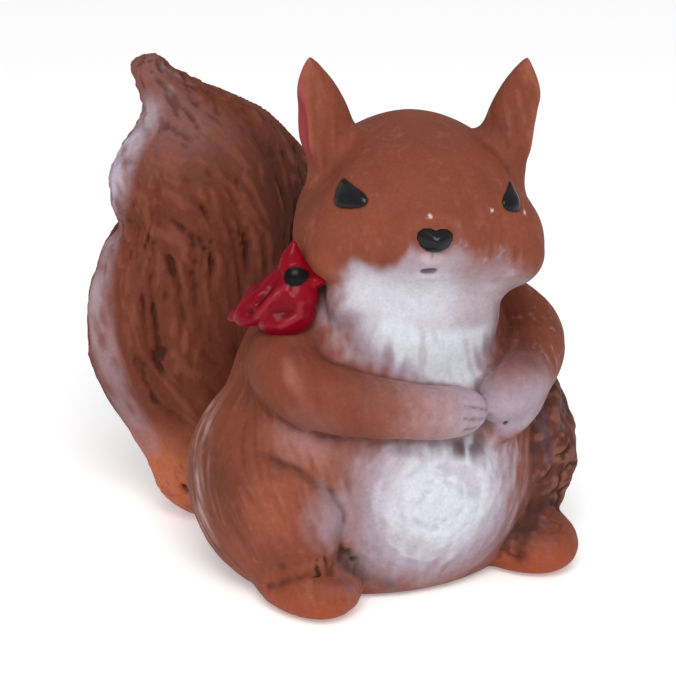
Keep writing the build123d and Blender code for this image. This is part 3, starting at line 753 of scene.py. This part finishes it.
# Mouth, lids, chips and pinholes
lay(PLUM, 0.95 * ease(mouth, 0.15, 0.6))
lay(SOOT, 0.7 * socket_shade)
lay(SOOT, 0.9 * ease(flaws, 0.2, 0.7))
BARE_RESIN = tone(214, 200, 192)
CHIPS = ((-1.7, -24.8, 3.0, 0.7), (10.5, -19.8, 3.0, 0.6), (17.4, -14.3, 0.8, 0.9))
for chip_x, chip_y, chip_z, radius in CHIPS:
    chip_place = tuple(on_head(chip_x, chip_y, chip_z))
    lay(BARE_RESIN, 0.75 * ragged_patch(0.15, chip_place, (0.8 * radius,) * 3, 0.5))


def keep_paint(piece, coat):
    """Keep the colour of each point of a piece, for its material to read."""
    layer = piece.data.attributes.new("paint", "FLOAT_COLOR", "POINT")
    rows = np.concatenate([coat, np.ones((len(coat), 1))], axis=1)
    layer.data.foreach_set("color", rows.astype(np.float32).ravel())


keep_paint(skin, paint)


class Wire:
    """One value in a material, from which sums, products and other nodes are made."""

    def __init__(self, tree, socket=None):
        self.tree = tree
        self.socket = socket

    def node(self, kind, settings, inputs, output=0):
        """Make a node of any kind, with its settings, then the numbers or wires on its inputs."""
        made = self.tree.nodes.new(kind)
        for name, value in settings.items():
            if name == "stops":
                while len(made.color_ramp.elements) < len(value):
                    made.color_ramp.elements.new(1)
                for element, (place, colour) in zip(made.color_ramp.elements, value):
                    element.position = place
                    element.color = (*colour, 1)
            else:
                setattr(made, name, value)
        for name, value in inputs.items():
            if isinstance(value, Wire):
                self.tree.links.new(value.socket, made.inputs[name])
            else:
                made.inputs[name].default_value = value
        return Wire(self.tree, made.outputs[output])

    def sum(self, operation, left, right):
        return self.node("ShaderNodeMath", {"operation": operation}, {0: left, 1: right})

    def __add__(self, other):
        return self.sum("ADD", self, other)

    def __radd__(self, other):
        return self.sum("ADD", other, self)

    def __sub__(self, other):
        return self.sum("SUBTRACT", self, other)

    def __rsub__(self, other):
        return self.sum("SUBTRACT", other, self)

    def __mul__(self, other):
        return self.sum("MULTIPLY", self, other)

    def __rmul__(self, other):
        return self.sum("MULTIPLY", other, self)


def finish(name, **constants):
    """A new material with its shader's plain numbers set, the wire of its places, and the shader."""
    material = bpy.data.materials.new(name)
    material.use_nodes = True
    shader = material.node_tree.nodes["Principled BSDF"]
    for socket, value in constants.items():
        shader.inputs[socket.replace("_", " ")].default_value = value
    place = Wire(material.node_tree).node("ShaderNodeTexCoord", {}, {}, "Object")
    return material, place, shader


def noise(place, scale, detail=3):
    return place.node("ShaderNodeTexNoise", {}, {"Vector": place, "Scale": scale, "Detail": detail})


def mixed(share, below, above):
    return share.node("ShaderNodeMix", {"data_type": "RGBA"}, {0: share, 6: below, 7: above}, 2)


def scaled(colour, factor):
    return colour.node("ShaderNodeVectorMath", {"operation": "SCALE"}, {0: colour, "Scale": factor})


def connect(wire, shader, socket):
    wire.tree.links.new(wire.socket, shader.inputs[socket])


def bumped(height, shader, strength, depth):
    """Roughen a shader's surface by a height, to a depth in millimetres."""
    inputs = {"Strength": strength, "Distance": depth * MM, "Height": height}
    connect(height.node("ShaderNodeBump", {}, inputs), shader, "Normal")


painted_resin, place, shader = finish("painted_resin", Specular_IOR_Level=0.13)
coat_of_paint = place.node("ShaderNodeAttribute", {"attribute_name": "paint"}, {}, "Color")
speckle = noise(place, 1500, 2)
brush = noise(place, 420, 4)
mottled = mixed(0.55 * speckle + 0.45 * brush, scaled(coat_of_paint, 0.68), scaled(coat_of_paint, 1.3))
connect(mottled, shader, "Base Color")
connect(0.5 + 0.3 * brush, shader, "Roughness")
bumped(0.6 * speckle + 0.4 * brush, shader, 0.2, 0.1)

# Share the skin out: each face goes to the casting that it lies on, and each piece is closed where it was
# cut, a little under the skin
CUT_DEPTH = 1.0


def whole_normals(piece):
    """The whole skin's normals, as kept on the points of a piece cut from it."""
    flat = np.empty(3 * len(piece.data.vertices), dtype=np.float32)
    piece.data.attributes["whole_normal"].data.foreach_get("vector", flat)
    return flat.reshape(-1, 3)


face_count = len(skin.data.polygons)
corners = np.empty(len(skin.data.loops), dtype=np.int32)
skin.data.loops.foreach_get("vertex_index", corners)
starts = np.empty(face_count, dtype=np.int32)
skin.data.polygons.foreach_get("loop_start", starts)
face_share = np.add.reduceat(share[corners], starts, axis=0)
for node in CASTINGS:
    skin.data.materials.append(bpy.data.materials.new("cut_" + node))
skin.data.polygons.foreach_set("material_index", face_share.argmax(axis=1).astype(np.int32))
layer = skin.data.attributes.new("whole_normal", "FLOAT_VECTOR", "POINT")
layer.data.foreach_set("vector", normals.astype(np.float32).ravel())
edit_all(skin)
bpy.ops.mesh.separate(type="MATERIAL")
bpy.ops.object.mode_set(mode="OBJECT")
for piece in list(bpy.context.selected_objects):
    node = piece.data.materials[0].name.removeprefix("cut_")
    piece.name = "painted_" + node
    piece.data.materials.clear()
    piece.data.materials.append(painted_resin)
    only(piece)
    bpy.ops.object.shade_smooth()
    outer = len(piece.data.vertices)
    bpy.ops.object.mode_set(mode="EDIT")
    bpy.ops.mesh.select_all(action="DESELECT")
    bpy.ops.mesh.select_mode(type="EDGE")
    bpy.ops.mesh.select_non_manifold()
    bpy.ops.mesh.extrude_edges_indiv()
    bpy.ops.object.mode_set(mode="OBJECT")
    cut = points_of(piece)
    cut[outer:] -= CUT_DEPTH * whole_normals(piece)[outer:]
    cut[outer:, 2] = np.maximum(cut[outer:, 2], UNDERSIDE)
    set_points(piece, cut)
    edit_all(piece)
    bpy.ops.mesh.fill_holes(sides=0)
    bpy.ops.mesh.select_mode(type="FACE")
    bpy.ops.mesh.select_face_by_sides(number=4, type="GREATER", extend=False)
    bpy.ops.mesh.poke()
    bpy.ops.mesh.select_all(action="SELECT")
    bpy.ops.mesh.normals_make_consistent(inside=False)
    bpy.ops.object.mode_set(mode="OBJECT")
    whole = whole_normals(piece).tolist()
    piece.data.attributes.remove(piece.data.attributes["whole_normal"])
    piece.data.normals_split_custom_set_from_vertices(whole)
    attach(piece, "root")
    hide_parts(node)

# Eyes: domed lenses of black enamel let into the sockets, straight along the brow and full below, which
# gives the squirrel its stern look.
EYE_PROUD = 1.0
BEAD_SUNK = 0.2
BEAD_BACK = 1.0
OUTSIDE_HEAD = 8
head_tree = BVHTree.FromObject(bpy.data.objects["painted_head"], bpy.context.evaluated_depsgraph_get())
bead_black, place, shader = finish(
    "bead_black", Specular_IOR_Level=0.12, Coat_Weight=0.12, Coat_Roughness=0.06,
)
dust = noise(place, 900, 3)
connect(mixed(dust, (0.004, 0.004, 0.005, 1), (0.012, 0.012, 0.014, 1)), shader, "Base Color")
connect(0.2 + 0.15 * dust, shader, "Roughness")


def on_skin(point, outward):
    """Where a line through a point of the head, from outside, meets the head's skin."""
    begin = on_head(*(point + outward * OUTSIDE_HEAD)) * MM
    hit = head_tree.ray_cast(begin, HEAD_AXES @ -outward)[0]
    return hit / MM


def bead(name, node, seat, right, up, outward, outline, proud):
    """A domed bead with an outline of its own, fitted to the skin under it."""
    bpy.ops.mesh.primitive_uv_sphere_add(segments=64, ring_count=32, radius=1)
    piece = bpy.context.object
    piece.name = name
    rows = points_of(piece) * MM
    turn = np.arctan2(rows[:, 1], rows[:, 0])
    reach = np.hypot(rows[:, 0], rows[:, 1]) * outline_radius(outline, turn)
    u, v = reach * np.cos(turn), reach * np.sin(turn)
    dome = np.sign(rows[:, 2]) * np.abs(rows[:, 2]) ** 0.8
    height = np.where(rows[:, 2] > 0, proud + BEAD_SUNK, BEAD_BACK) * dome - BEAD_SUNK
    made = [
        on_skin(seat + right * a + up * b, outward) + (HEAD_AXES @ outward) * c
        for a, b, c in zip(u, v, height)
    ]
    set_points(piece, np.array(made))
    edit_all(piece)
    bpy.ops.mesh.normals_make_consistent(inside=False)
    bpy.ops.object.mode_set(mode="OBJECT")
    bpy.ops.object.shade_smooth()
    piece.data.materials.append(bead_black)
    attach(piece, "root")
    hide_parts(node)
    return piece, u, v


for node, side in (("left_eye", 1), ("right_eye", -1)):
    bead("enamel_" + node, node, *eye_axes(side), eye_outline(side), EYE_PROUD)

# Nose: a heart-shaped bead of the same black enamel, let into the muzzle, with a notch on top and two
# nostrils pressed into it.
NOSE_SEAT = Vector((-0.6, -22, -1.0))
NOSE_PROUD = 1.2
NOSE_OUTLINE = (
    # to the squirrel's left, up
    (0.0, 1.75), (-0.9, 2.1), (-2.2, 2.0), (-3.2, 1.2), (-3.3, 0.1), (-2.5, -1.4), (-1.2, -2.3),
    (0.0, -2.5), (1.2, -2.3), (2.5, -1.4), (3.3, 0.1), (3.2, 1.2), (2.2, 2.0), (0.9, 2.1),
)
nose_ways = (Vector((1, 0, 0)), Vector((0, 0, 1)), Vector((0, -1, 0)))
nose, u, v = bead("enamel_nose", "nose", NOSE_SEAT, *nose_ways, NOSE_OUTLINE, NOSE_PROUD)
nostrils = sum(bell((u - middle) / 0.9, (v + 0.5) / 0.7) for middle in (-1.5, 1.5))
pressed = points_of(nose) + np.outer(0.2 * nostrils, HEAD_AXES @ Vector((0, 1, 0)))
set_points(nose, pressed)

# Bird: a small crested bird cast by itself, pinned to the shoulder and dipped in gloss red, with a black
# patch brushed on round the root of its beak.
BIRD_MIDDLE = Vector((-27.1, -4.4, 55.6))
BIRD_AXES = Matrix.Rotation(math.radians(-40), 3, "Z")
BIRD_VOXEL = 0.22
BIRD_RED = tone(120, 1, 20)
BIRD_BRIGHT = tone(140, 10, 26)
BIRD_SHADE = tone(78, 0, 8)
BIRD_HIGHLIGHT = tone(170, 60, 68)
BIRD_BLACK = tone(8, 8, 10)


def on_bird(x, y, z):
    """A point in the bird's own axes, x forwards, y to its left and z up, as a place on the ornament."""
    return BIRD_MIDDLE + BIRD_AXES @ Vector((x, y, z))


# Each lump's middle, radii and tilt: body, breast, back, head, crest, wings, tail and beak
BIRD_LUMPS = (
    ((3.0, 0.0, -0.2), (6.3, 5.6, 5.0), 0),
    ((5.4, 0.0, 2.6), (4.3, 4.6, 4.6), 0),
    ((1.4, 0.0, 4.2), (6.6, 3.6, 2.4), 45),
    ((5.2, 0.0, 6.6), (3.5, 3.5, 3.1), 0),
    ((4.2, 0.0, 9.2), (3.4, 2.0, 1.8), 70),
    ((5.0, 0.0, 11.8), (0.9, 0.8, 1.5), 0),
    ((5.4, 0.0, 9.4), (1.5, 1.6, 2.4), 0),
    ((-0.9, -2.2, 1.2), (5.8, 3.0, 3.0), 38),
    ((-0.9, 2.2, 1.2), (5.8, 3.0, 3.0), 38),
    ((-4.7, -0.4, -1.0), (3.0, 2.4, 1.3), 30),
    ((8.4, 0.0, 5.6), (2.4, 1.7, 1.4), 0),
    ((10.0, 0.0, 5.8), (1.3, 0.8, 0.7), 0),
)
WING_EDGE = ((-0.9, 0.0), (1.3, 3.1), (4.2, 5.4))
WING_RIM = ((4.2, 4.2), (6.9, 2.6), (6.6, 0.2), (3.4, -1.6), (0.6, -1.6))
BACK_GROOVE = ((-0.8, 2.6), (0.8, 4.4), (2.6, 7.4))
feathers = [
    lump(on_bird(*middle), radii, BIRD_AXES @ Matrix.Rotation(math.radians(-tilt), 3, "Y"))
    for middle, radii, tilt in BIRD_LUMPS
]
only(*feathers)
bpy.ops.object.join()
red_bird = bpy.context.object
red_bird.name = "red_bird"
apply(red_bird, "REMESH", mode="VOXEL", voxel_size=BIRD_VOXEL * MM)
apply(red_bird, "SMOOTH", factor=0.5, iterations=26)
bird_points = points_of(red_bird)
bird_normals = normals_of(red_bird)
local = (bird_points - np.array(BIRD_MIDDLE)) @ np.array(BIRD_AXES)
bx, by, bz = local.T
flank = ease(np.abs(by), 1.2, 3.2)
flat = np.stack([bx, bz], axis=1)


def mark(path, radius):
    """A stroke on both flanks of the bird, through places given forwards and up."""
    return stroke(flat, path, radius, 1.0) * flank


wing_hollow = bell((bx - 3.8) / 2.2, (bz - 1.1) / 1.3) * flank
rear_hollow = bell((bx + 2.6) / 1.4, (bz - 0.6) / 1.2) * flank
back_groove = mark(BACK_GROOVE, 1.3)
raised = np.maximum(mark(WING_EDGE, 1.0), mark(WING_RIM[1:4], 1.0))
pressed = wing_hollow + rear_hollow + 0.7 * back_groove
pressed = pressed - 0.5 * mark(WING_EDGE, 1.5) - 0.35 * mark(WING_RIM, 1.5)
bird_points -= bird_normals * pressed[:, None]
set_points(red_bird, bird_points)
apply(red_bird, "SMOOTH", factor=0.5, iterations=3)
bpy.ops.object.shade_smooth()
local = (points_of(red_bird) - np.array(BIRD_MIDDLE)) @ np.array(BIRD_AXES)
bx, by, bz = local.T
mask_width = np.where(bx < 5.5, 1.9, 2.7)
face_patch = ease(1 - np.hypot((bx - 5.5) / mask_width, (bz - 7.2) / 1.7), -0.08, 0.1)
red = np.tile(BIRD_RED, (len(local), 1))
lay(BIRD_BRIGHT, 0.4 * ease(grain(local, 2.5), -0.2, 0.9), red)
# Painted shade in the hollows of the wings and the groove of the back, and a painted highlight on the
# raised edges
lay(BIRD_SHADE, 0.8 * wing_hollow + 0.8 * rear_hollow + 0.5 * back_groove, red)
lay(BIRD_HIGHLIGHT, 0.3 * raised, red)
lay(BIRD_BLACK, face_patch, red)
keep_paint(red_bird, red)
bird_red, place, shader = finish(
    "bird_red", Specular_IOR_Level=0.08, Coat_Weight=0.08, Coat_Roughness=0.2,
)
dipped = place.node("ShaderNodeAttribute", {"attribute_name": "paint"}, {}, "Color")
flow = noise(place, 700, 3)
connect(mixed(flow, scaled(dipped, 0.85), scaled(dipped, 1.15)), shader, "Base Color")
connect(0.3 + 0.15 * flow, shader, "Roughness")
bumped(flow, shader, 0.1, 0.15)
red_bird.data.materials.append(bird_red)
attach(red_bird, "root")
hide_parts("bird")

# Underside: a plug of bare sanded resin closes the hollow that the torso is poured with, and a pad of
# green felt is glued under it.
bare_resin, place, shader = finish("bare_resin")
sanded = noise(place, 1200, 4)
cloudy = noise(place, 150, 3)
filler = mixed(0.5 * sanded + 0.5 * cloudy, (0.50, 0.45, 0.38, 1), (0.70, 0.66, 0.58, 1))
connect(filler, shader, "Base Color")
connect(0.55 + 0.25 * sanded, shader, "Roughness")
bumped(sanded, shader, 0.2, 0.1)

felt, place, shader = finish("felt", Sheen_Weight=0.4, Sheen_Roughness=0.6, Specular_IOR_Level=0.1)
fibres = noise(place, 2600, 5)
matted = noise(place, 500, 3)
green = mixed(0.6 * fibres + 0.4 * matted, (0.005, 0.022, 0.010, 1), (0.022, 0.068, 0.034, 1))
connect(green, shader, "Base Color")
connect(0.85 + 0.15 * fibres, shader, "Roughness")
bumped(fibres, shader, 0.6, 0.2)

# Dowels and pins: turned hardwood in the joints of the head and the tail, and cut wire in the small joints.
# The castings hide them once the ornament is put together.
dowel_wood, place, shader = finish("dowel_wood")
along = place.node("ShaderNodeMapping", {}, {"Vector": place, "Scale": (900, 900, 60)})
growth = place.node("ShaderNodeTexNoise", {}, {"Vector": along, "Scale": 1.0, "Detail": 4})
connect(mixed(growth, (0.30, 0.17, 0.08, 1), (0.62, 0.42, 0.24, 1)), shader, "Base Color")
connect(0.5 + 0.25 * growth, shader, "Roughness")
bumped(growth, shader, 0.2, 0.1)

pin_wire, place, shader = finish("pin_wire", Metallic=1.0)
drawn = noise(place, 1800, 3)
connect(mixed(drawn, (0.28, 0.28, 0.29, 1), (0.48, 0.48, 0.50, 1)), shader, "Base Color")
connect(0.28 + 0.2 * drawn, shader, "Roughness")

FINISHES = (
    (bare_resin, ("base_plug",)),
    (felt, ("felt_pad",)),
    (dowel_wood, ("neck_dowel", "tail_dowels")),
    (pin_wire, ("ear_pins", "leg_pins", "arm_pins", "bird_pin")),
)
for material, names in FINISHES:
    for node in names:
        for material_slot in nodes[node].material_slots:
            material_slot.material = material

# Studio: a pale floor under soft light from all round, with one broad lamp in front and above
FLOOR_GLOW = 0.3
SKY_STRENGTH = 0.5
KEY_PLACE = Vector((-0.35, -0.6, 0.75))
KEY_FACING = Vector((-0.35, -0.6, 0.7))
KEY_SIZE = 0.5
KEY_ENERGY = 7
bpy.ops.mesh.primitive_plane_add(size=6, location=(0, 0, 0))
floor = bpy.context.object
floor.name = "floor"
floor_paint, _, _ = finish(
    "floor",
    Base_Color=(0.95, 0.95, 0.95, 1),
    Roughness=0.9,
    Emission_Color=(1, 1, 1, 1),
    Emission_Strength=FLOOR_GLOW,
)
floor.data.materials.append(floor_paint)

world = bpy.data.worlds.new("studio")
world.use_nodes = True
sky = world.node_tree.nodes["Background"]
sky.inputs["Color"].default_value = (1, 1, 1, 1)
sky.inputs["Strength"].default_value = SKY_STRENGTH
bpy.context.scene.world = world
bpy.ops.object.light_add(type="AREA", location=KEY_PLACE)
key = bpy.context.object
key.rotation_euler = KEY_FACING.to_track_quat("Z", "Y").to_euler()
key.data.size = KEY_SIZE
key.data.energy = KEY_ENERGY
